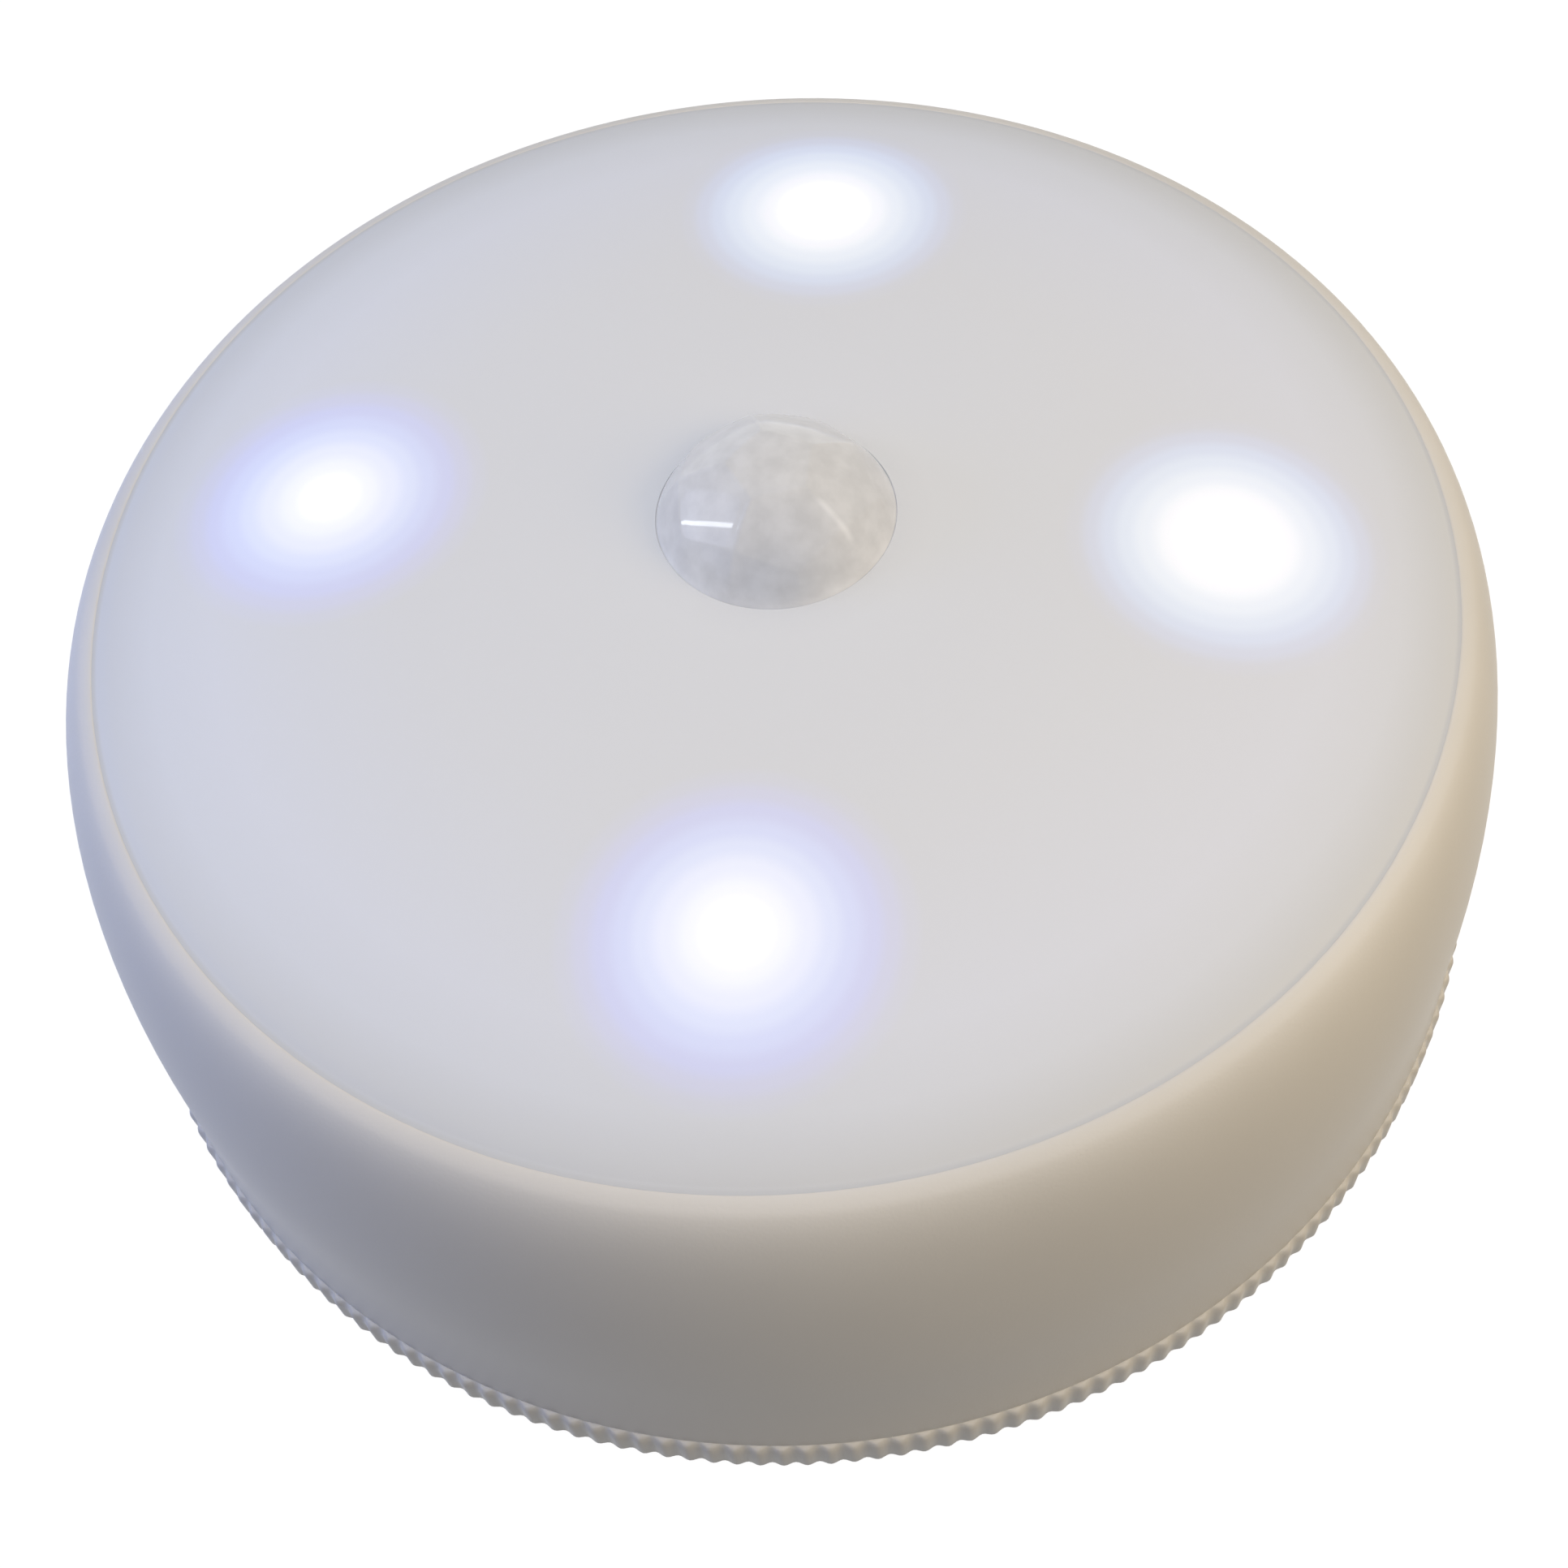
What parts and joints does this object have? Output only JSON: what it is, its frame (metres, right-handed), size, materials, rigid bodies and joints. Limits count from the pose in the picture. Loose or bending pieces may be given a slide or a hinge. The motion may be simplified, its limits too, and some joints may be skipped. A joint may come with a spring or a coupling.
{
  "type": "motion sensor light",
  "caption": "Round battery puck light: domed frosted diffuser, motion sensor lens in its middle, knurled twist-off base with an adhesive back.",
  "frame": {"origin": "centre of the adhesive pad's face, on the surface that the light is stuck to or stands on", "axes": "+Z out of the lit face towards the room, +X towards the switch window in the back, +Y along the battery cells"},
  "size_m": [0.084, 0.084, 0.0339],
  "materials": {
    "housing_plastic": "fine satin, white",
    "diffuser_plastic": "frosted translucent white",
    "lens_plastic": "milky translucent, moulded facets",
    "black_plastic": "satin black",
    "tray_plastic": "satin grey",
    "board_laminate": "white solder mask on glass-fibre laminate",
    "tinned_metal": "bright tinned",
    "screw_steel": "zinc plated",
    "filter_glass": "dark infrared filter",
    "led_package": "white moulded package",
    "led_phosphor": "yellow phosphor in clear resin",
    "resistor_body": "black film on white ceramic",
    "cell_wrap": "metal can in a plain dark sleeve, no lettering",
    "photocell_body": "sealed photocell",
    "capacitor_sleeve": "dark shrink sleeve",
    "pad_foam": "closed-cell adhesive foam",
    "red_insulation": "soft insulation",
    "black_insulation": "soft insulation"
  },
  "bodies": {
    "head": {"front_housing": "housing_plastic", "diffuser": "diffuser_plastic", "sensor_lens": "lens_plastic", "lens_sleeve": "black_plastic", "circuit_board": "board_laminate", "infrared_sensor_can": "tinned_metal", "sensor_filter": "filter_glass", "led_1": "led_package", "led_2": "led_package", "led_3": "led_package", "led_4": "led_package", "led_phosphor_1": "led_phosphor", "led_phosphor_2": "led_phosphor", "led_phosphor_3": "led_phosphor", "led_phosphor_4": "led_phosphor", "led_resistor_1": "resistor_body", "led_resistor_2": "resistor_body", "led_resistor_3": "resistor_body", "led_resistor_4": "resistor_body", "photocell": "photocell_body", "controller_chip": "black_plastic", "led_driver_transistor": "black_plastic", "voltage_regulator": "black_plastic", "smoothing_capacitor": "capacitor_sleeve", "battery_tray": "tray_plastic", "switch_body": "screw_steel", "battery_cell_1": "cell_wrap", "battery_cell_2": "cell_wrap", "battery_cell_3": "cell_wrap", "battery_spring_1": "tinned_metal", "battery_spring_2": "tinned_metal", "battery_spring_3": "tinned_metal", "contact_bridge_1": "tinned_metal", "contact_bridge_2": "tinned_metal", "contact_positive": "tinned_metal", "contact_negative": "tinned_metal", "battery_lead_red": "red_insulation", "battery_lead_black": "black_insulation", "tray_screw_1": "screw_steel", "tray_screw_2": "screw_steel", "tray_screw_3": "screw_steel"},
    "base": {"base_cover": "housing_plastic", "adhesive_pad": "pad_foam"},
    "switch_slider": {"switch_lever": "black_plastic", "slide_button": "black_plastic"}
  },
  "joints": [
    {"name": "base_twist", "type": "hinge", "parent": "head", "child": "base", "pos_m": [0, 0, 0.0005], "axis": [0, 0, -1], "range_deg": [0, 25]},
    {"name": "switch_slide", "type": "slide", "parent": "head", "child": "switch_slider", "axis": [0, 1, 0], "range_m": [-0.002, 0.002]}
  ]
}
